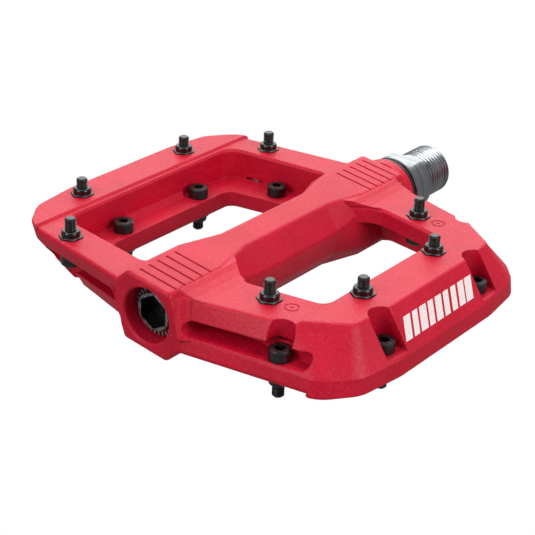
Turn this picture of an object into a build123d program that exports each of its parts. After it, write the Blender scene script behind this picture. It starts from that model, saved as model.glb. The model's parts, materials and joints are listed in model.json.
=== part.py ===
"""Flat pedal: a moulded platform that spins on a steel axle, gripped by screw pins on both faces.

Frame: +X is forward, +Y points away from the crank and +Z is up. The origin lies on the axle's
centreline, in the shoulder that seats against the crank arm. The platform is the same shape
after half a turn about the axle, so most features are cut once and again on the turned body.
"""
import os
from math import cos, pi

from build123d import *

FAR = 80.0                 # farther out than anything in the part, for cutters
LEVEL = 0.001              # edges this close to a plane count as lying in it
RUN = 0.03                 # radial running clearance
EASE = 0.3                 # small chamfers on turned and moulded edges

# ---- platform, with x and z from the axle line and y from the platform's middle ----
PLATFORM_Y = 62.0          # middle of the platform, from the crank shoulder
BAR_HALF = 7.4             # half thickness of the front and rear bars
RAIL_HALF = 6.7            # half thickness of the side rails
BAND_TOP = 2.8             # the upright band of the sloping sides ends this far past mid height
SEAT = 2.0                 # screw seats lie this far from mid height
STEP_NEAR, STEP_FAR = 36.0, 44.0   # where the thicker bars begin on the narrow and the wide side
END_Y = 48.8               # half length of the platform at the axle tube
RIM_ROUND, FOOT_ROUND = 1.0, 0.6   # rounding of the rims, and of the wide foot of the bars
STEP_EASE = 0.95           # side of the square cut that slopes the steps
STEP_EDGE = 0.5            # an outer edge that runs less than this along X belongs to a step

# half outlines as (x, y) corners and their rounding radii, from the tube to the end bar
WIDE = [(0, 50.6), (46.9, 42.3), (53.4, 33.6), (55.2, 20.0)]
WIDE_BAND = [(0, 49.2), (46.2, 41.2), (53.1, 33.2), (54.9, 20.0)]
WIDE_R = [9.0, 9.0, 20.0]
NARROW = [(0, 47.1), (35.0, 37.2), (46.9, 29.0), (48.0, 15.5)]
NARROW_R = [9.0, 3.5, 12.0]
WINDOW = [(0, 18.0), (13.0, 28.7), (35.8, 24.3)]
WINDOW_R = [8.0, 3.5]
WINDOW_MOUTH = [(0, 18.9), (12.9, 29.4), (35.9, 25.0)]
RECESS = [(0, 27.0), (12.0, 36.9), (42.9, 32.8)]
RECESS_R = [2.5, 4.5]
RECESS_MOUTH = [(0, 27.6), (12.0, 37.5), (43.4, 33.4)]
MOUTH_DEPTH = 0.7          # the openings flare over this depth
KERB = [(43.0, -0.1), (41.8, -2.1), (43.0, -2.1)]   # (x, z) corners of the kerb along the recess wall
KERB_HALF = 12.2

# ---- axle tube: (x, z) corners on one side of the half turn, at the waist and at the ends ----
TUBE_WAIST = [(7.4, 4.6), (3.6, 9.8), (-4.0, 8.7), (-8.5, 1.8)]
TUBE_END = [(10.8, 6.2), (6.3, 10.2), (-7.3, 8.6), (-8.6, 5.0)]
TUBE_R = [2.0, 1.5, 1.5, 2.0]
TUBE_END_ROUND = 1.0
WAIST_Y, FLARE_Y = 17.0, 29.5
SADDLE = [(-5.5, 8.5), (-7.5, 8.3), (-9.0, 7.6), (-11.2, 6.95), (-14.0, 6.7), (-14.0, 5.5), (-5.5, 5.5)]
SADDLE_Y = (19.0, 46.5)    # the rail's top sweeps up to the tube's crown between these
CROOK = (-8.2, 44.7)       # inner corner between the tube's flank and the rail's side, at the rail's top
CROOK_FOOT = (-10.2, 47.5, -2.8)
CROOK_ROUND = 2.6
CROOK_ROOT = (1.0, 1.5)    # how far its filling reaches into the tube and into the rail
NOSE_R, NOSE_START, NOSE_END, NOSE_EASE = 9.4, 48.0, 53.0, 0.9
GROOVES, GROOVE_FIRST, GROOVE_PITCH = 6, 33.3, 3.1
GROOVE_X = (-7.6, 4.6)
GROOVE_WIDTH, GROOVE_DEPTH = 0.6, 0.3

# ---- small moulding marks, (x, y) on the top of the rear rails and on the front ledge ----
RING_MARK = (-30.5, 31.3)
RING_MARK_R, RING_MARK_WIDTH, MARK_DEPTH = 1.9, 0.4, 0.15
EJECTOR_MARKS = [(39.9, 20.8), (40.4, -26.8)]
EJECTOR_R = 2.0

# ---- pockets for the screws' heads ----
SLOT_X = (10.3, 43.0)      # slots in the rails' outer sides
SLOT_FLOOR_Y = 36.9
SCALLOP_R = 3.4            # hex key access past the rail's edge
SLIT_HALF, SLIT_Z, SLIT_Y = 2.8, (0.9, 1.8), (30.0, 38.0)
POCKET_HALF = 3.65         # pockets in the sloping face of the end bar
POCKET_BACK_X = 45.2

# ---- pins: M3 cap screws up through nylon-ring nuts, (x, y) of those that point up ----
PINS = {
    "front_bar": (49.7, 20.4),
    "front_rail": (34.1, 39.9),
    "rear_rail": (-24.0, 31.6),
    "rear_bar": (-39.4, 15.3),
}
SCREW_R, SCREW_LENGTH, SCREW_PITCH = 1.5, 10.0, 0.5
SCREW_HEAD_R, SCREW_HEAD_H = 2.75, 3.0
SCREW_HEX, SCREW_HEX_DEPTH = 2.5, 1.6
SCREW_PLAIN, SCREW_TIP = 0.8, 0.4          # unthreaded length under the head and at the end
SCREW_THREAD = ((0.1, 0.0), (0.5, 0.24), (0.9, 0.0))   # (share of the pitch, depth) of each groove
NUT_HEX, NUT_HEX_H, NUT_H, NUT_COLLAR_R = 5.5, 2.4, 4.0, 2.45
NUT_CROWN, NUT_COLLAR_ROUND = 0.6, 0.7     # bevel of the hex corners, and rounding of the collar
PIN_HOLE_R = 1.6
NUT_POCKET_HEX, NUT_POCKET_DEPTH = 5.75, 2.0

# ---- axle and what runs on it, y from the platform's middle ----
SHOULDER = -62.0
THREAD_R, THREAD_LENGTH, THREAD_PITCH, THREAD_DEPTH = 7.14, 12.5, 1.27, 0.7
THREAD_FORM = ((0.14, 0), (0.44, 1), (0.70, 1), (1.0, 0))   # (share of the pitch, share of the depth)
THREAD_LEAD = 0.4
PILOT_LENGTH = 2.2                          # plain length between the thread and the shoulder
COLLAR_R, COLLAR_LENGTH = 8.9, 7.2
FLAT_HALF, FLAT_LENGTH = 7.5, 5.4          # 15 mm wrench flats
SEAL_SEAT_R, SEAL_SEAT_END = 6.5, -49.6
JOURNAL_R, JOURNAL_END = 6.0, -34.0
STEM_R, STEM_END_R = 5.0, 4.0
STEM_EASE, STEM_TAPER_END = 1.0, 27.0
BEARING_BORE_R, BEARING_R, BEARING_W = 3.0, 6.5, 5.0   # 6 x 13 x 5 ball bearing
BEARING_Y = 30.0
STUD_R, STUD_END, STUD_TIP = 2.5, 39.5, 0.6
KEY_HEX, KEY_DEPTH = 6.0, 9.0               # hex socket in the crank end

MOUTH_R, MOUTH_START, MOUTH_EASE = 7.2, 44.0, 0.5      # outboard mouth of the bore
TUBE_BORE_R = 5.6
BUSHING_R = 6.9
SEAL_R, SEAL_LIP_R, SEAL_LIP, SEAL_EASE = 8.1, 8.9, 1.2, 0.4
SEAL_POCKET_END = -50.2
SEAL_GAP = 0.1

CAP_R, CAP_FACE_Y, CAP_HEAD_R = 6.9, 43.6, 5.15
CAP_HEAD_END, CAP_HEX, CAP_HEX_DEPTH = 46.1, 8.0, 4.2
CAP_SKIRT_R = 5.8
CAP_FLOOR, CAP_SLACK = 0.8, 0.1
CAP_SEAL_W, CAP_SEAL_SLACK = 1.1, 0.05
LOCK_NUT_HEX, LOCK_NUT_H, LOCK_WASHER_R, LOCK_WASHER_W = 9.0, 3.4, 4.1, 0.8
STUD_SLACK, NUT_SLACK = 0.1, 0.02           # radial slack of the washer, and of threads in their nuts

BALLS, BALL_R, BALL_RING_R = 9, 1.1, 4.75
RACE_LAND = 0.5                             # half the gap between the races
CAGE_HALF, CAGE_BACK, CAGE_FRONT = 0.4, 0.6, 1.8   # half its wall, and its reach either side of the balls
SHIELD_INSET, SHIELD_W, SHIELD_SLACK = 0.25, 0.3, 0.1


def turned(shape):
    """The same shape after half a turn about the axle."""
    return shape.rotate(Axis.Y, 180)


def both(shape):
    return shape + turned(shape)


def mirrored_in_y(shape):
    return mirror(shape, Plane.XZ)


def half_outline(corners, radii, side, z):
    """Face between the tube's middle plane and the rounded outline on the +X or -X side."""
    near = [(side * x, y) for x, y in corners]
    far = [(x, -y) for x, y in reversed(near)]
    edge = FilletPolyline(*near, *far, radius=radii + radii[::-1])
    return Pos(0, 0, z) * make_face(edge + Line(far[-1], near[0]))


def prism(corners, radii, side, low, high):
    return extrude(half_outline(corners, radii, side, low), high - low)


def upright(radius, height):
    """Cylinder that stands on z = 0."""
    return Cylinder(radius, height, align=(Align.CENTER, Align.CENTER, Align.MIN))


def hexagon(across_flats, length):
    """Hexagonal bar up +Z with flats that face +X and -X."""
    return extrude(RegularPolygon(across_flats / 2, 6, major_radius=False, rotation=30), length)


def edges_at(shape, axis, place):
    return shape.edges().filter_by_position(axis, place - LEVEL, place + LEVEL)


def lathe(profile):
    """Solid of revolution about Y from (radius, y) corners."""
    return revolve(make_face(Polyline(*profile, close=True)), Axis.Y)


def box_between(low, high):
    size = [b - a for a, b in zip(low, high)]
    return Pos(*low) * Box(*size, align=(Align.MIN, Align.MIN, Align.MIN))


# ---------------------------------------------------------------- platform
def rim(shape, z):
    """Outer edges of the rear half that lie flat at height z."""
    level = [edge for edge in edges_at(shape, Axis.Z, z) if edge.center().X < -LEVEL]
    return [edge for edge in level if edge.bounding_box().size.X > STEP_EDGE]


def slab():
    """Two halves with sloping sides: the rear one widens downwards, the front one upwards."""
    foot = half_outline(WIDE, WIDE_R, -1, -BAR_HALF)
    band = half_outline(WIDE_BAND, WIDE_R, -1, -BAND_TOP)
    top = half_outline(NARROW, NARROW_R, -1, BAR_HALF)
    rear = loft([foot, band], ruled=True) + loft([band, top], ruled=True)
    rear -= box_between((-STEP_NEAR, -FAR, RAIL_HALF), (FAR, FAR, FAR))
    rear -= box_between((-STEP_FAR, -FAR, -FAR), (FAR, FAR, -RAIL_HALF))
    rear = fillet(rim(rear, -RAIL_HALF), RIM_ROUND)
    rear = fillet(rim(rear, -BAR_HALF), FOOT_ROUND)
    rear = fillet(rim(rear, BAR_HALF), RIM_ROUND)
    rear = fillet(rim(rear, RAIL_HALF), RIM_ROUND)
    ease = Rot(0, 45, 0) * Box(STEP_EASE, 2 * FAR, STEP_EASE)
    rear -= Pos(-STEP_NEAR, 0, BAR_HALF) * ease
    rear -= Pos(-STEP_FAR, 0, -BAR_HALF) * ease
    return both(rear) & box_between((-FAR, -END_Y, -FAR), (FAR, END_Y, FAR))


def flared(corners, mouth, radii, low, high):
    """Opening of the rear half from low to high that widens at the end farther from mid height."""
    end, step = (high, -MOUTH_DEPTH) if high > -low else (low, MOUTH_DEPTH)
    faces = [half_outline(corners, radii, -1, end + step), half_outline(mouth, radii, -1, end)]
    return prism(corners, radii, -1, low, high) + loft(faces, ruled=True)


def under_slope(shape):
    """What the rear half's sloping sides, carried on above the rails, leave of a shape."""
    lift = 2 * BAR_HALF
    share = (lift - BAR_HALF) / (BAR_HALF + BAND_TOP)
    carried = [(x + share * (x - u), y + share * (y - v)) for (x, y), (u, v) in zip(NARROW, WIDE_BAND)]
    band = half_outline(WIDE_BAND, WIDE_R, -1, -BAND_TOP)
    return shape & loft([band, half_outline(carried, NARROW_R, -1, lift)], ruled=True)


def saddle():
    """Sweep from the top of a rear rail up to the tube's crown."""
    low, high = SADDLE_Y
    section = make_face(Polyline(*[(x, low, z) for x, z in SADDLE], close=True))
    return under_slope(extrude(section, high - low, dir=(0, 1, 0)))


def crook():
    """Rounded inner corner between the tube's flank and a rear rail's side."""
    x, y = CROOK
    centre_x, centre_y = x - CROOK_ROUND, y + CROOK_ROUND
    reach = CROOK_ROUND * cos(pi / 4)
    arc = ThreePointArc((x, centre_y), (centre_x + reach, centre_y - reach), (centre_x, y))
    root_x, root_y = x + CROOK_ROOT[0], y - CROOK_ROOT[1]
    root = [(centre_x, y), (centre_x, root_y), (root_x, root_y), (root_x, centre_y), (x, centre_y)]
    edge = arc + Polyline(*root)
    foot_x, foot_y, foot_z = CROOK_FOOT
    way = Vector(foot_x - x, foot_y - y, foot_z - RAIL_HALF)
    corner = extrude(Pos(0, 0, RAIL_HALF) * make_face(edge), way.length, dir=way)
    return corner & box_between((-FAR, -FAR, -FAR), (FAR, END_Y, FAR))


def windows():
    """Rear half: a window through the top plate and a wider recess below it, and turned."""
    window = flared(WINDOW, WINDOW_MOUTH, WINDOW_R, -1, RAIL_HALF)
    window += prism(WINDOW, WINDOW_R, -1, RAIL_HALF, FAR)
    recess = flared(RECESS, RECESS_MOUTH, RECESS_R, -RAIL_HALF, SEAT)
    recess += prism(RECESS, RECESS_R, -1, -FAR, -RAIL_HALF)
    return both(window + recess)


def recess_kerb():
    """Small slope where the front recess meets its floor."""
    section = make_face(Polyline(*[(x, 0, z) for x, z in KERB], close=True))
    return extrude(section, KERB_HALF, both=True)


def moulding_marks():
    """Plain rings on the rear rails and round ejector marks on the front ledge."""
    x, y = RING_MARK
    ring_face = make_face(Circle(RING_MARK_R).edge()) - Circle(RING_MARK_R - RING_MARK_WIDTH)
    height = 2 * MARK_DEPTH
    ring_cut = Pos(x, y, RAIL_HALF - MARK_DEPTH) * extrude(ring_face, height)
    dot = Pos(x, y, RAIL_HALF - MARK_DEPTH) * upright(RING_MARK_WIDTH, height)
    ejectors = [Pos(x, y, -SEAT - MARK_DEPTH) * upright(EJECTOR_R, height) for x, y in EJECTOR_MARKS]
    return [ring_cut, dot, mirrored_in_y(ring_cut), mirrored_in_y(dot)] + ejectors


def tube_section(corners, y):
    points = corners + [(-x, -z) for x, z in corners]
    return make_face(FilletPolyline(*[(x, y, z) for x, z in points], close=True, radius=TUBE_R * 2))


def axle_tube():
    stations = [(-END_Y, TUBE_END), (-FLARE_Y, TUBE_END), (-WAIST_Y, TUBE_WAIST)]
    stations += [(-y, corners) for y, corners in reversed(stations)]
    sections = [tube_section(corners, y) for y, corners in stations]
    tube = loft(sections, ruled=True)
    tube = fillet(edges_at(tube, Axis.Y, -END_Y) + edges_at(tube, Axis.Y, END_Y), TUBE_END_ROUND)
    nose = lathe([(0, -NOSE_END), (NOSE_R - NOSE_EASE, -NOSE_END), (NOSE_R, NOSE_EASE - NOSE_END),
                  (NOSE_R, -NOSE_START), (0, -NOSE_START)])
    return tube + nose


def tube_grooves():
    """Shallow cross grooves in the crown at both ends of the tube."""
    (fore_x, fore_z), (aft_x, aft_z) = TUBE_END[1], TUBE_END[2]
    slope = (fore_z - aft_z) / (fore_x - aft_x)
    low, high = GROOVE_X
    points = [(x, aft_z + slope * (x - aft_x) - GROOVE_DEPTH) for x in (low, high)]
    points += [(high, FAR), (low, FAR)]
    section = make_face(Polyline(*[(x, 0, z) for x, z in points], close=True))
    cutter = extrude(section, GROOVE_WIDTH / 2, both=True)
    ys = [GROOVE_FIRST + GROOVE_PITCH * i for i in range(GROOVES)]
    return [Pos(0, side * y, 0) * cutter for y in ys for side in (-1, 1)]


def side_slot():
    """Slot in the outer side of a rear rail, with the key's way in to the screw in its end."""
    low, high = SLOT_X
    middle = Pos(-(low + high) / 2, FAR, 0) * Rot(90, 0, 0)
    slot = middle * extrude(SlotOverall(high - low, 2 * SEAT), FAR - SLOT_FLOOR_Y)
    pin_x, pin_y = PINS["front_rail"]
    scallop = Pos(-pin_x, pin_y, -SEAT) * upright(SCALLOP_R, FAR)
    (near, far), (under, over) = SLIT_Y, SLIT_Z
    slit = box_between((-pin_x - SLIT_HALF, near, under), (-pin_x + SLIT_HALF, far, over))
    return slot + scallop + slit


def face_pocket():
    """Round-backed pocket down the sloping face of the rear bar."""
    pin_y = PINS["front_bar"][1]
    centre_x = -POCKET_BACK_X - POCKET_HALF
    back = Pos(centre_x, pin_y, -SEAT) * upright(POCKET_HALF, FAR)
    front = box_between((-FAR, pin_y - POCKET_HALF, -SEAT), (centre_x, pin_y + POCKET_HALF, FAR))
    return back + front


def pin_bore(x, y):
    """Screw hole and nut pocket of one pin that points up."""
    top = BAR_HALF if x > STEP_FAR or x < -STEP_NEAR else RAIL_HALF
    hole = Pos(x, y, 0) * upright(PIN_HOLE_R, FAR)
    pocket = Pos(x, y, top - NUT_POCKET_DEPTH) * hexagon(NUT_POCKET_HEX, FAR)
    return [hole, pocket]


def body_bore():
    """The bore along the tube, from the crank side to the outboard mouth."""
    return lathe([
        (0, -FAR), (SEAL_R, -FAR), (SEAL_R, SEAL_POCKET_END), (BUSHING_R, SEAL_POCKET_END),
        (BUSHING_R, JOURNAL_END), (TUBE_BORE_R, JOURNAL_END), (TUBE_BORE_R, BEARING_Y),
        (BEARING_R, BEARING_Y), (BEARING_R, BEARING_Y + BEARING_W), (CAP_R, BEARING_Y + BEARING_W),
        (CAP_R, MOUTH_START), (MOUTH_R, MOUTH_START), (MOUTH_R, END_Y - MOUTH_EASE),
        (MOUTH_R + 2 * MOUTH_EASE, END_Y + MOUTH_EASE), (MOUTH_R + 2 * MOUTH_EASE, FAR), (0, FAR),
    ])


def platform_body():
    sweep, corner = saddle(), crook()
    body = slab() + both(sweep + mirrored_in_y(sweep)) - windows()
    body += both(recess_kerb()) + both(corner + mirrored_in_y(corner)) + axle_tube()
    cuts = []
    for feature in (side_slot(), face_pocket()):
        cuts += [feature, mirrored_in_y(feature)]
    for x, y in PINS.values():
        cuts += pin_bore(x, y) + pin_bore(x, -y)
    cuts += tube_grooves() + moulding_marks()
    for cut in cuts:
        body -= cut
        body -= turned(cut)
    return body - body_bore()


# ---------------------------------------------------------------- axle
def thread_profile():
    """Crests and roots of the pedal thread, from the crank end to the plain pilot."""
    start = SHOULDER - THREAD_LENGTH
    root = THREAD_R - THREAD_DEPTH
    turns = int((THREAD_LENGTH - PILOT_LENGTH) / THREAD_PITCH)
    points = [(root - THREAD_LEAD, start)]
    for turn in range(turns):
        points += [(root + depth * THREAD_DEPTH, start + (turn + along) * THREAD_PITCH)
                   for along, depth in THREAD_FORM]
    return points


def axle():
    end = SHOULDER - THREAD_LENGTH
    collar_end = SHOULDER + COLLAR_LENGTH
    pilot_start = SHOULDER - PILOT_LENGTH
    bearing_end = BEARING_Y + BEARING_W
    profile = [(0, end)] + thread_profile() + [
        (THREAD_R, pilot_start), (THREAD_R, SHOULDER),
        (COLLAR_R - EASE, SHOULDER), (COLLAR_R, SHOULDER + EASE),
        (COLLAR_R, collar_end - EASE), (COLLAR_R - EASE, collar_end),
        (SEAL_SEAT_R, collar_end), (SEAL_SEAT_R, SEAL_SEAT_END),
        (JOURNAL_R, SEAL_SEAT_END), (JOURNAL_R, JOURNAL_END - STEM_EASE),
        (STEM_R, JOURNAL_END + STEM_EASE), (STEM_END_R, STEM_TAPER_END), (STEM_END_R, BEARING_Y),
        (BEARING_BORE_R, BEARING_Y), (BEARING_BORE_R, bearing_end),
        (STUD_R, bearing_end), (STUD_R, STUD_END - STUD_TIP), (STUD_R - STUD_TIP, STUD_END), (0, STUD_END),
    ]
    flat = box_between((-FAR, -FAR, FLAT_HALF), (FAR, SHOULDER + FLAT_LENGTH, FAR))
    key = Pos(0, end, 0) * Rot(-90, 0, 0) * hexagon(KEY_HEX, KEY_DEPTH)
    return lathe(profile) - both(flat) - key


def ring(inner, outer, low, high, ease=0.2):
    """Plain ring about the axle line with eased outer edges."""
    return lathe([(inner, low), (outer - ease, low), (outer, low + ease),
                  (outer, high - ease), (outer - ease, high), (inner, high)])


def inboard_seal():
    """Rubber lip seal: a body pressed into the tube's end and a wider lip outside it."""
    inner, lip_end, body_end = SEAL_SEAT_R + RUN, -NOSE_END - SEAL_LIP, SEAL_SEAT_END - SEAL_GAP
    return lathe([
        (inner, body_end), (inner, lip_end), (SEAL_LIP_R - SEAL_EASE, lip_end),
        (SEAL_LIP_R, lip_end + SEAL_EASE), (SEAL_LIP_R, -NOSE_END), (SEAL_R, -NOSE_END),
        (SEAL_R, SEAL_POCKET_END), (inner + EASE, SEAL_POCKET_END), (inner + EASE, body_end),
    ])


def inboard_bushing():
    return ring(JOURNAL_R + RUN, BUSHING_R, SEAL_SEAT_END + SEAL_GAP, JOURNAL_END - STEM_EASE / 2)


# ---------------------------------------------------------------- ball bearing
def race(inner, outer):
    """Race with a ball groove cut by a torus round the ball circle."""
    body = lathe([(inner, BEARING_Y), (outer, BEARING_Y), (outer, BEARING_Y + BEARING_W),
                  (inner, BEARING_Y + BEARING_W)])
    middle = BEARING_Y + BEARING_W / 2
    groove = Pos(0, middle, 0) * Rot(90, 0, 0) * Torus(BALL_RING_R, BALL_R + RUN)
    return body - groove


def bearing_outer_race():
    return race(BALL_RING_R + RACE_LAND, BEARING_R)


def bearing_inner_race():
    return race(BEARING_BORE_R, BALL_RING_R - RACE_LAND)


def ball_places():
    middle = BEARING_Y + BEARING_W / 2
    return [Rot(0, 360 / BALLS * i, 0) * Pos(BALL_RING_R, middle, 0) for i in range(BALLS)]


def bearing_balls():
    return Compound([place * Sphere(BALL_R) for place in ball_places()])


def bearing_cage():
    """Crown cage: a ring behind the balls with fingers that reach between them."""
    middle = BEARING_Y + BEARING_W / 2
    inner, outer = BALL_RING_R - CAGE_HALF, BALL_RING_R + CAGE_HALF
    cage = ring(inner, outer, middle - CAGE_BACK, middle + CAGE_FRONT, RUN)
    pocket = Rot(0, 90, 0) * Cylinder(BALL_R + RUN, 4 * CAGE_HALF)
    for place in ball_places():
        cage -= place * pocket
    return cage


def bearing_shield(side):
    """Thin washer that closes one side of the bearing, held in the outer race."""
    middle = BEARING_Y + BEARING_W / 2
    face = middle + side * (BEARING_W / 2 - SHIELD_INSET)
    low, high = sorted((face, face - side * SHIELD_W))
    inner, outer = BALL_RING_R - RACE_LAND + SHIELD_SLACK, BALL_RING_R + RACE_LAND
    return lathe([(inner, low), (outer, low), (outer, high), (inner, high)])


# ---------------------------------------------------------------- outboard end
def lock_washer():
    start = BEARING_Y + BEARING_W
    inner, end = STUD_R + STUD_SLACK, start + LOCK_WASHER_W
    return lathe([(inner, start), (LOCK_WASHER_R, start), (LOCK_WASHER_R, end), (inner, end)])


def axle_lock_nut():
    start = BEARING_Y + BEARING_W + LOCK_WASHER_W
    nut = Pos(0, start, 0) * Rot(-90, 0, 0) * hexagon(LOCK_NUT_HEX, LOCK_NUT_H)
    return nut - lathe([(0, 0), (STUD_R + NUT_SLACK, 0), (STUD_R + NUT_SLACK, FAR), (0, FAR)])


def end_cap():
    """Threaded cap with a skirt that bears on the outer race and a hex socket in its head."""
    skirt_start = BEARING_Y + BEARING_W
    floor = CAP_HEAD_END - CAP_HEX_DEPTH - CAP_FLOOR
    cap = lathe([
        (CAP_SKIRT_R, skirt_start), (CAP_R - CAP_SLACK, skirt_start), (CAP_R, skirt_start + EASE),
        (CAP_R, CAP_FACE_Y), (CAP_HEAD_R, CAP_FACE_Y), (CAP_HEAD_R, CAP_HEAD_END - EASE),
        (CAP_HEAD_R - EASE, CAP_HEAD_END), (0, CAP_HEAD_END), (0, floor), (CAP_SKIRT_R, floor),
    ])
    socket = Pos(0, CAP_HEAD_END - CAP_HEX_DEPTH, 0) * Rot(-90, 0, 0) * hexagon(CAP_HEX, FAR)
    return cap - socket


def end_cap_seal():
    return ring(CAP_HEAD_R + CAP_SEAL_SLACK, CAP_R, CAP_FACE_Y, CAP_FACE_Y + CAP_SEAL_W, EASE)


# ---------------------------------------------------------------- pins
def pin_screw():
    """Cap screw that points up from its seat, with its thread cut as rings."""
    head = Pos(0, 0, -SCREW_HEAD_H) * upright(SCREW_HEAD_R, SCREW_HEAD_H)
    head = chamfer(head.edges().group_by(Axis.Z)[0], EASE)
    head -= Pos(0, 0, -SCREW_HEAD_H) * hexagon(SCREW_HEX, SCREW_HEX_DEPTH)
    turns = int((SCREW_LENGTH - SCREW_PLAIN - SCREW_TIP) / SCREW_PITCH)
    points = [(0, 0), (SCREW_R, 0)]
    for turn in range(turns):
        start = SCREW_PLAIN + turn * SCREW_PITCH
        points += [(SCREW_R - depth, start + along * SCREW_PITCH) for along, depth in SCREW_THREAD]
    points += [(SCREW_R, SCREW_LENGTH - SCREW_TIP), (SCREW_R - SCREW_TIP, SCREW_LENGTH), (0, SCREW_LENGTH)]
    shank = revolve(make_face(Polyline(*[(r, 0, z) for r, z in points], close=True)), Axis.Z)
    return head + shank


def pin_nut():
    """Hex nut with a domed collar, standing on its flat face."""
    corner = NUT_HEX / 2 / cos(pi / 6)
    points = [(0, 0), (corner - EASE, 0), (corner, EASE), (corner, NUT_HEX_H - EASE),
              (corner - NUT_CROWN, NUT_HEX_H), (0, NUT_HEX_H)]
    crown = revolve(make_face(Polyline(*[(r, 0, z) for r, z in points], close=True)), Axis.Z)
    collar = Pos(0, 0, NUT_HEX_H) * upright(NUT_COLLAR_R, NUT_H - NUT_HEX_H)
    collar = fillet(collar.edges().group_by(Axis.Z)[-1], NUT_COLLAR_ROUND)
    nut = (hexagon(NUT_HEX, NUT_HEX_H) & crown) + collar
    return nut - Cylinder(SCREW_R + NUT_SLACK, FAR)


def pin_places():
    """Name, place and bar-or-rail height of every pin, up and down."""
    places = []
    for spot, (x, y) in PINS.items():
        top = BAR_HALF if "bar" in spot else RAIL_HALF
        for row, side in (("outer", 1), ("inner", -1)):
            up = Pos(x, side * y, 0)
            places.append((f"top_{spot}_{row}", up, top))
            places.append((f"bottom_{spot}_{row}", Rot(0, 180, 0) * up, top))
    return places


def write(name, shape):
    shape.label = name
    export_step(Pos(0, PLATFORM_Y, 0) * shape, f"parts/{name}.step")


def main():
    os.makedirs("parts", exist_ok=True)
    write("platform_body", platform_body())
    write("axle", axle())
    write("inboard_seal", inboard_seal())
    write("inboard_bushing", inboard_bushing())
    write("bearing_outer_race", bearing_outer_race())
    write("bearing_inner_race", bearing_inner_race())
    write("bearing_balls", bearing_balls())
    write("bearing_cage", bearing_cage())
    write("bearing_shield_inboard", bearing_shield(-1))
    write("bearing_shield_outboard", bearing_shield(1))
    write("lock_washer", lock_washer())
    write("axle_lock_nut", axle_lock_nut())
    write("end_cap", end_cap())
    write("end_cap_seal", end_cap_seal())
    for name, place, top in pin_places():
        write(f"{name}_screw", place * Pos(0, 0, SEAT) * pin_screw())
        write(f"{name}_nut", place * Pos(0, 0, top - NUT_POCKET_DEPTH) * pin_nut())


if __name__ == "__main__":
    main()
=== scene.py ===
import json
from math import cos, pi, radians, sin

import bpy
from mathutils import Matrix, Vector


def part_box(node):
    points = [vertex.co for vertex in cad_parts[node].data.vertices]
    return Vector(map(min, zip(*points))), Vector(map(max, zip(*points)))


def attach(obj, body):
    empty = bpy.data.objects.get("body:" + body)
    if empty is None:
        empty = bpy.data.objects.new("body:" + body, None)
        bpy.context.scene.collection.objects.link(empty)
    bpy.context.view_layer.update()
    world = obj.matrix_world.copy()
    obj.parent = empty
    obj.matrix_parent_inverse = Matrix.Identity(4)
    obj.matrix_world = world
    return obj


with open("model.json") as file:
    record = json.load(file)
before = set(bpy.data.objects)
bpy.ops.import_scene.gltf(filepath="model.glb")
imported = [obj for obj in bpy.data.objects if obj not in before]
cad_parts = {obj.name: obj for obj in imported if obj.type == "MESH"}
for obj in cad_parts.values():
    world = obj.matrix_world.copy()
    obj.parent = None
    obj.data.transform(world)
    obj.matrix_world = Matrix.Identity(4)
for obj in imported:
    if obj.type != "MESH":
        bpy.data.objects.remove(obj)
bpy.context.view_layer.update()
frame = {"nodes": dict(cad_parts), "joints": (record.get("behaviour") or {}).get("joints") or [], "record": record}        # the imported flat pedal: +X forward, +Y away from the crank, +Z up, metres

MM = 0.001

# ---- camera: the point it looks at, and its angles from there ----
AIM = Vector((-5.37, 70.91, 0.0)) * MM
CAMERA_DISTANCE = 379.1 * MM
CAMERA_AZIMUTH = radians(142.10)     # of the view direction, from +Y towards +X
CAMERA_ELEVATION = radians(27.13)
CAMERA_ROLL = radians(2.287)
LENS = 99.6                          # on a 36 mm sensor

# ---- the rear slope, as (x, z) in millimetres at its foot and its top ----
SLOPE_FOOT, SLOPE_TOP = (-54.9, -2.8), (-48.0, 7.4)
PRINT_LENGTH, PRINT_HEIGHT, PRINT_MIDDLE_Z = 30.2, 5.5, 2.0
PRINT_BARS, PRINT_SLANT = 9, 0.45
AMBIENT = 0.3                        # light from the white surroundings, which look fully white
INK = 0.03                           # thickness of the ink film

BAR_SHARES, BAR_SEED = (0.62, 0.9), 4   # each bar's width as a share of the pitch, and its draw

# ---- tick marks round the end cap, in millimetres ----
TICKS, TICK_RADIUS, TICK_LENGTH, TICK_WIDTH = 30, 6.0, 1.1, 0.4
CAP_RIM = 0.35                          # depth of the end cap's bright rim


def linear(hex_colour):
    """sRGB hex to the linear colour that the shaders take."""
    channels = [int(hex_colour[i:i + 2], 16) / 255 for i in (1, 3, 5)]
    flat = [c / 12.92 if c <= 0.04045 else ((c + 0.055) / 1.055) ** 2.4 for c in channels]
    return (*flat, 1.0)


def node(tree, kind, inputs=None, **settings):
    """Adds a node with its settings, and sets or links each named or numbered input."""
    made = tree.nodes.new(kind)
    for name, value in settings.items():
        setattr(made, name, value)
    for key, value in (inputs or {}).items():
        if isinstance(value, bpy.types.NodeSocket):
            tree.links.new(value, made.inputs[key])
        else:
            made.inputs[key].default_value = value
    return made


def ramp(tree, factor, stops):
    """Colour ramp through (position, grey or hex) stops."""
    made = node(tree, "ShaderNodeValToRGB", {"Fac": factor})
    while len(made.color_ramp.elements) < len(stops):
        made.color_ramp.elements.new(0.5)
    for element, (place, shade) in zip(made.color_ramp.elements, stops):
        element.position = place
        element.color = linear(shade) if isinstance(shade, str) else (shade, shade, shade, 1.0)
    return made.outputs["Color"]


def material(name, **constants):
    """New material: its tree, its shader with constants set on it, and its object coordinates."""
    made = bpy.data.materials.new(name)
    made.use_nodes = True
    tree = made.node_tree
    shader = tree.nodes["Principled BSDF"]
    for socket, value in constants.items():
        shader.inputs[socket.replace("_", " ")].default_value = value
    place = node(tree, "ShaderNodeTexCoord").outputs["Object"]
    return made, tree, shader, place


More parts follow.
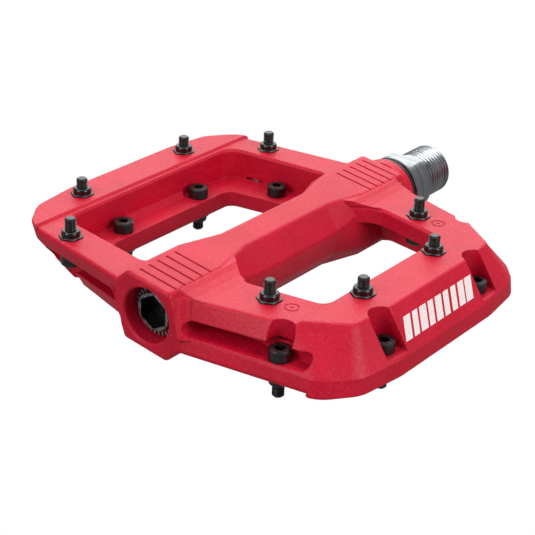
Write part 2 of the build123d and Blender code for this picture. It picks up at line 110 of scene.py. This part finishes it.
def noise(tree, place, size_mm, detail=2.0, roughness=0.5):
    """Noise whose grains are about size_mm across."""
    made = node(tree, "ShaderNodeTexNoise", {
        "Vector": place, "Scale": 1.0 / (size_mm * MM), "Detail": detail, "Roughness": roughness})
    return made.outputs["Fac"]


def moulded_nylon():
    """Glass-filled nylon moulded against spark-eroded steel: an even pebbled grain that spreads the
    highlight wide, so faces turned to the light go pale while the sides stay deep red."""
    made, tree, shader, place = material(
        "glass_filled_nylon_red_spark_textured", IOR=1.53, Specular_IOR_Level=0.27)
    blotch = noise(tree, place, 14.0, 3.0)
    grain = noise(tree, place, 0.55, 2.0, 0.6)       # real grain is 0.15 mm, drawn coarser so that it shows
    # pale flecks: partly the glass fibre's own specks, partly painted sparkle highlights, lighter in the base
    # colour on every face
    fleck = noise(tree, place, 0.6, 4.0, 0.75)
    base = ramp(tree, blotch, [(0.35, "#b80026"), (0.65, "#c4022e")])
    fleck_and_painted_sparkle = ramp(tree, fleck, [(0.54, 0.0), (0.7, 0.5)])
    mixed = node(tree, "ShaderNodeMix", {"Factor": fleck_and_painted_sparkle, 6: base, 7: linear("#d04552")}, data_type="RGBA")
    tree.links.new(mixed.outputs[2], shader.inputs["Base Color"])
    tree.links.new(ramp(tree, grain, [(0.3, 0.4), (0.7, 0.56)]), shader.inputs["Roughness"])
    eased = node(tree, "ShaderNodeBevel", {"Radius": 0.45 * MM}, samples=6)
    pebble = node(tree, "ShaderNodeBump", {
        "Strength": 0.9, "Distance": 0.08 * MM, "Height": grain, "Normal": eased.outputs["Normal"]})
    tree.links.new(pebble.outputs["Normal"], shader.inputs["Normal"])
    return made


def turned_metal(name, light, dark, roughness, line_mm, bite):
    """Metal turned or ground round the axle line: fine rings that streak the highlight."""
    made, tree, shader, place = material(name, Metallic=1.0)
    stretched = node(tree, "ShaderNodeMapping", {"Vector": place, "Scale": (0.02, 1.0, 0.02)})
    lines = noise(tree, stretched.outputs["Vector"], line_mm, 3.0, 0.6)
    cloud = noise(tree, place, 4.0, 3.0)
    tone = ramp(tree, lines, [(0.3, dark), (0.7, light)])
    tree.links.new(tone, shader.inputs["Base Color"])
    tree.links.new(ramp(tree, cloud, [(0.3, roughness), (0.7, roughness + 0.12)]), shader.inputs["Roughness"])
    cut = node(tree, "ShaderNodeBump", {"Strength": bite, "Distance": 0.02 * MM, "Height": lines})
    tree.links.new(cut.outputs["Normal"], shader.inputs["Normal"])
    return made


def black_oxide(name, base, worn, roughness, grain_mm):
    """Alloy steel with a black oxide skin: near black, satin, with greyer thinner patches."""
    made, tree, shader, place = material(name, IOR=1.6, Metallic=0.1)
    patch = noise(tree, place, 1.2, 4.0, 0.65)
    grain = noise(tree, place, grain_mm, 2.0)
    tree.links.new(ramp(tree, patch, [(0.45, base), (0.75, worn)]), shader.inputs["Base Color"])
    tree.links.new(ramp(tree, patch, [(0.3, roughness), (0.7, roughness + 0.15)]), shader.inputs["Roughness"])
    eased = node(tree, "ShaderNodeBevel", {"Radius": 0.06 * MM}, samples=4)
    skin = node(tree, "ShaderNodeBump", {
        "Strength": 0.25, "Distance": 0.02 * MM, "Height": grain, "Normal": eased.outputs["Normal"]})
    tree.links.new(skin.outputs["Normal"], shader.inputs["Normal"])
    return made


def soft_polymer(name, base, lighter, roughness, grain_mm, ior):
    """Moulded rubber or bearing polymer: plain, with a faint mould grain."""
    made, tree, shader, place = material(name, IOR=ior)
    grain = noise(tree, place, grain_mm, 3.0)
    tree.links.new(ramp(tree, grain, [(0.35, base), (0.7, lighter)]), shader.inputs["Base Color"])
    tree.links.new(ramp(tree, grain, [(0.3, roughness), (0.7, roughness + 0.1)]), shader.inputs["Roughness"])
    skin = node(tree, "ShaderNodeBump", {"Strength": 0.2, "Distance": 0.03 * MM, "Height": grain})
    tree.links.new(skin.outputs["Normal"], shader.inputs["Normal"])
    return made


def rimmed_cap():
    """Aluminium end cap with its rim turned bare; below the rim it is painted near black as shade, so the hex
    socket reads deep inside a grey ring.
    """
    made, tree, shader, place = material("turned_rim_cap_with_painted_socket_shade")
    height = node(tree, "ShaderNodeSeparateXYZ", {0: place}).outputs["Y"]
    rim_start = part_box("end_cap")[1].y - CAP_RIM * MM
    bright = node(tree, "ShaderNodeMath", {0: height, 1: rim_start}, operation="GREATER_THAN").outputs[0]
    cloud = noise(tree, place, 0.6, 3.0)
    silver = ramp(tree, cloud, [(0.35, "#4c4e53"), (0.65, "#b4b6ba")])
    # painted shade: the cap below its rim, the hex socket's walls among it, is coloured near black to stand
    # for the shade in the deep socket
    painted_socket_shade = ramp(tree, cloud, [(0.3, "#070708"), (0.7, "#101011")])
    tone = node(tree, "ShaderNodeMix", {"Factor": bright, 6: painted_socket_shade, 7: silver}, data_type="RGBA")
    tree.links.new(tone.outputs[2], shader.inputs["Base Color"])
    tree.links.new(bright, shader.inputs["Metallic"])
    tree.links.new(ramp(tree, cloud, [(0.3, 0.25), (0.7, 0.38)]), shader.inputs["Roughness"])
    return made


def pad_print_ink():
    """White pad-printed ink: opaque, slightly worn where it bridges the grain of the nylon."""
    made, tree, shader, place = material("pad_printed_ink_white", IOR=1.5)
    wear = noise(tree, place, 0.5, 4.0, 0.7)
    tree.links.new(ramp(tree, wear, [(0.3, "#d9a7a8"), (0.42, "#e9dcdb")]), shader.inputs["Base Color"])
    tree.links.new(ramp(tree, wear, [(0.3, 0.5), (0.7, 0.62)]), shader.inputs["Roughness"])
    film = node(tree, "ShaderNodeBump", {"Strength": 0.3, "Distance": 0.03 * MM, "Height": wear})
    tree.links.new(film.outputs["Normal"], shader.inputs["Normal"])
    return made


FINISHES = {
    "moulded_body": moulded_nylon(),
    "axle_steel": turned_metal("turned_chrome_molybdenum_steel", "#adafb3", "#74777c", 0.24, 0.5, 0.8),
    "pin_black": black_oxide("black_oxide_screw_steel", "#0b090a", "#211e1f", 0.26, 0.25),
    "nut_black": black_oxide("black_oxide_nut_steel", "#050505", "#100f0f", 0.14, 0.3),
    "seal_rubber": soft_polymer("nitrile_rubber_black", "#0b0b0c", "#191819", 0.45, 0.4, 1.52),
    "bushing_polymer": soft_polymer("bearing_polymer_dark_grey", "#2b2b2d", "#39393b", 0.5, 0.4, 1.5),
    "bearing_steel": turned_metal("ground_bearing_steel", "#d9dadc", "#bcbec2", 0.1, 0.2, 0.2),
    "cage_polymer": soft_polymer("natural_nylon_cage", "#c9bf9f", "#d8cfb2", 0.42, 0.5, 1.53),
    "hardware_zinc": turned_metal("zinc_plated_steel", "#c3c6ca", "#a4a8ad", 0.3, 0.3, 0.4),
    "cap_metal": rimmed_cap(),
}
INK_WHITE = pad_print_ink()
BARE_ALUMINIUM = turned_metal("laser_bared_aluminium", "#dcdde0", "#a9abb0", 0.3, 0.3, 0.3)

for part in frame["record"]["subparts"]:
    slots = frame["nodes"][part["node"]].data.materials
    slots.clear()
    slots.append(FINISHES[part["material_slot"]])


# ---------------------------------------------------------------- pieces that repeat
def grown(name, tree, values, place, finish):
    """Plain mesh object from a geometry tree, with its place in its mesh."""
    seed = bpy.data.objects.new(f"{name}_seed", bpy.data.meshes.new(f"{name}_seed"))
    bpy.context.scene.collection.objects.link(seed)
    modifier = seed.modifiers.new("grow", "NODES")
    modifier.node_group = tree
    for item in tree.interface.items_tree:
        if item.in_out == "INPUT" and item.name in values:
            modifier[item.identifier] = values[item.name]
    shown = seed.evaluated_get(bpy.context.evaluated_depsgraph_get())
    mesh = bpy.data.meshes.new_from_object(shown)
    seed.modifiers.remove(modifier)
    bpy.data.objects.remove(seed)
    mesh.transform(place)
    mesh.materials.clear()
    mesh.materials.append(finish)
    mesh.name = name
    piece = bpy.data.objects.new(name, mesh)
    bpy.context.scene.collection.objects.link(piece)
    return piece


def geometry_tree(name, sizes, finish):
    """Geometry group with named inputs, and a way to close it with realised, finished instances."""
    tree = bpy.data.node_groups.new(name, "GeometryNodeTree")
    tree.interface.new_socket("Geometry", in_out="OUTPUT", socket_type="NodeSocketGeometry")
    for label, kind in sizes.items():
        tree.interface.new_socket(label, in_out="INPUT", socket_type=kind)
    given = node(tree, "NodeGroupInput").outputs

    def close(instances):
        solid = node(tree, "GeometryNodeRealizeInstances", {"Geometry": instances})
        coated = node(tree, "GeometryNodeSetMaterial", {"Geometry": solid.outputs[0], "Material": finish})
        node(tree, "NodeGroupOutput", {0: coated.outputs[0]})

    return tree, given, close


def slanted_bars(finish):
    """A row of slanted bars of uneven widths, centred, lying in the XY plane."""
    tree, given, close = geometry_tree("slanted_bars", {
        "Bars": "NodeSocketInt", "Length": "NodeSocketFloat", "Height": "NodeSocketFloat",
        "Slant": "NodeSocketFloat", "Thickness": "NodeSocketFloat"}, finish)
    share_out = node(tree, "ShaderNodeMath", {0: given["Length"], 1: given["Bars"]}, operation="DIVIDE")
    pitch = share_out.outputs[0]
    step = node(tree, "ShaderNodeCombineXYZ", {"X": pitch})
    line = node(tree, "GeometryNodeMeshLine", {"Count": given["Bars"], "Offset": step.outputs[0]})
    size = node(tree, "ShaderNodeCombineXYZ", {"X": pitch, "Y": given["Height"], "Z": given["Thickness"]})
    bar = node(tree, "GeometryNodeMeshCube", {"Size": size.outputs[0]})
    spot = node(tree, "GeometryNodeInputPosition").outputs[0]
    parts = node(tree, "ShaderNodeSeparateXYZ", {0: spot})
    lean = node(tree, "ShaderNodeMath", {0: parts.outputs["Y"], 1: given["Slant"]}, operation="MULTIPLY")
    offset = node(tree, "ShaderNodeCombineXYZ", {"X": lean.outputs[0]})
    share = node(tree, "FunctionNodeRandomValue", {
        2: BAR_SHARES[0], 3: BAR_SHARES[1], "Seed": BAR_SEED}, data_type="FLOAT")
    scale = node(tree, "ShaderNodeCombineXYZ", {"X": share.outputs[1], "Y": 1.0, "Z": 1.0})
    row = node(tree, "GeometryNodeInstanceOnPoints", {
        "Points": line.outputs[0], "Instance": bar.outputs[0], "Scale": scale.outputs[0]})
    solid = node(tree, "GeometryNodeRealizeInstances", {"Geometry": row.outputs[0]})
    leant = node(tree, "GeometryNodeSetPosition", {"Geometry": solid.outputs[0], "Offset": offset.outputs[0]})
    close(leant.outputs[0])
    return tree


def ring_of_ticks(finish):
    """Short radial ticks evenly round a circle in the XY plane."""
    tree, given, close = geometry_tree("ring_of_ticks", {
        "Ticks": "NodeSocketInt", "Radius": "NodeSocketFloat", "Length": "NodeSocketFloat",
        "Width": "NodeSocketFloat", "Thickness": "NodeSocketFloat"}, finish)
    circle = node(tree, "GeometryNodeMeshCircle", {"Vertices": given["Ticks"], "Radius": given["Radius"]})
    size = node(tree, "ShaderNodeCombineXYZ", {
        "X": given["Length"], "Y": given["Width"], "Z": given["Thickness"]})
    tick = node(tree, "GeometryNodeMeshCube", {"Size": size.outputs[0]})
    index = node(tree, "GeometryNodeInputIndex").outputs[0]
    whole = node(tree, "ShaderNodeMath", {0: index, 1: 2 * pi}, operation="MULTIPLY").outputs[0]
    angle = node(tree, "ShaderNodeMath", {0: whole, 1: given["Ticks"]}, operation="DIVIDE").outputs[0]
    turn = node(tree, "ShaderNodeCombineXYZ", {"Z": angle})
    row = node(tree, "GeometryNodeInstanceOnPoints", {
        "Points": circle.outputs[0], "Instance": tick.outputs[0], "Rotation": turn.outputs[0]})
    close(row.outputs[0])
    return tree


def on_slope(side):
    """Place of the print: its X runs along the bar, its Y up the slope and its Z out of it."""
    (foot_x, foot_z), (top_x, top_z) = SLOPE_FOOT, SLOPE_TOP
    up = Vector((top_x - foot_x, 0, top_z - foot_z)).normalized()
    along = Vector((0, -1, 0))
    out = along.cross(up)
    share = (PRINT_MIDDLE_Z - foot_z) / (top_z - foot_z)
    middle = Vector((foot_x + share * (top_x - foot_x), 0, PRINT_MIDDLE_Z)) * MM + out * INK * MM / 2
    axes = Matrix((along, up, out)).transposed().to_4x4()
    half_turn = Matrix.Rotation(pi if side < 0 else 0, 4, "Y")
    return Matrix.Translation((0, platform_y, 0)) @ half_turn @ Matrix.Translation(middle) @ axes


platform_y = next(j for j in frame["joints"] if j["name"] == "platform_spin")["pos_m"][1]

bars = slanted_bars(INK_WHITE)
pitch = PRINT_LENGTH / PRINT_BARS
centred = Matrix.Translation((-(PRINT_LENGTH - pitch) / 2 * MM, 0, 0))
for name, side in (("rear_print", 1), ("front_print", -1)):
    values = {"Bars": PRINT_BARS, "Length": PRINT_LENGTH * MM, "Height": PRINT_HEIGHT * MM,
              "Slant": PRINT_SLANT, "Thickness": INK * MM}
    piece = grown(name, bars, values, on_slope(side) @ centred, INK_WHITE)
    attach(piece, "platform")

seal_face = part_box("end_cap_seal")[1].y
face_outwards = Matrix.Translation((0, seal_face, 0)) @ Matrix.Rotation(-pi / 2, 4, "X")
ticks = grown("cap_tick_marks", ring_of_ticks(BARE_ALUMINIUM), {
    "Ticks": TICKS, "Radius": TICK_RADIUS * MM, "Length": TICK_LENGTH * MM, "Width": TICK_WIDTH * MM,
    "Thickness": 2 * INK * MM}, face_outwards, BARE_ALUMINIUM)
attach(ticks, "platform")


# ---------------------------------------------------------------- camera and light
def aimed(made, place, target, roll=0.0):
    """Puts a lamp or the camera at a place, looking at a target."""
    made.location = place
    turned = (target - place).to_track_quat("-Z", "Y")
    made.rotation_mode = "QUATERNION"
    made.rotation_quaternion = turned @ Matrix.Rotation(roll, 3, "Z").to_quaternion()
    bpy.context.scene.collection.objects.link(made)


view = Vector((sin(CAMERA_AZIMUTH) * cos(CAMERA_ELEVATION), cos(CAMERA_AZIMUTH) * cos(CAMERA_ELEVATION),
               -sin(CAMERA_ELEVATION)))
camera_data = bpy.data.cameras.new("camera")
camera_data.lens = LENS
camera_data.clip_start = 0.01
camera = bpy.data.objects.new("camera", camera_data)
aimed(camera, AIM - view * CAMERA_DISTANCE, AIM, CAMERA_ROLL)
bpy.context.scene.camera = camera


def softbox(name, watts, width, height, azimuth, elevation, distance):
    """Area lamp at an azimuth from the camera's side of the object, positive to its right."""
    heading = CAMERA_AZIMUTH + pi - radians(azimuth)
    rise = radians(elevation)
    place = AIM + Vector((sin(heading) * cos(rise), cos(heading) * cos(rise), sin(rise))) * distance
    lamp = bpy.data.lights.new(name, "AREA")
    lamp.shape = "RECTANGLE"
    lamp.size, lamp.size_y = width, height
    lamp.energy = watts
    aimed(bpy.data.objects.new(name, lamp), place, AIM)


softbox("overhead_softbox", 5.0, 0.9, 0.9, 180, 72, 0.8)
softbox("back_softbox", 11.0, 1.8, 0.9, 180, 30, 1.1)
softbox("left_fill", 3.6, 0.4, 0.4, -50, 30, 0.9)
softbox("right_fill", 4.2, 0.4, 0.4, 55, 25, 0.9)

world = bpy.data.worlds.new("studio")
bpy.context.scene.world = world
world.use_nodes = True
seen = node(world.node_tree, "ShaderNodeLightPath").outputs["Is Camera Ray"]
glow = node(world.node_tree, "ShaderNodeMapRange", {"Value": seen, "To Min": AMBIENT, "To Max": 1.0})
background = world.node_tree.nodes["Background"]
background.inputs["Color"].default_value = (1, 1, 1, 1)
world.node_tree.links.new(glow.outputs[0], background.inputs["Strength"])
bpy.context.scene.view_settings.view_transform = "Standard"
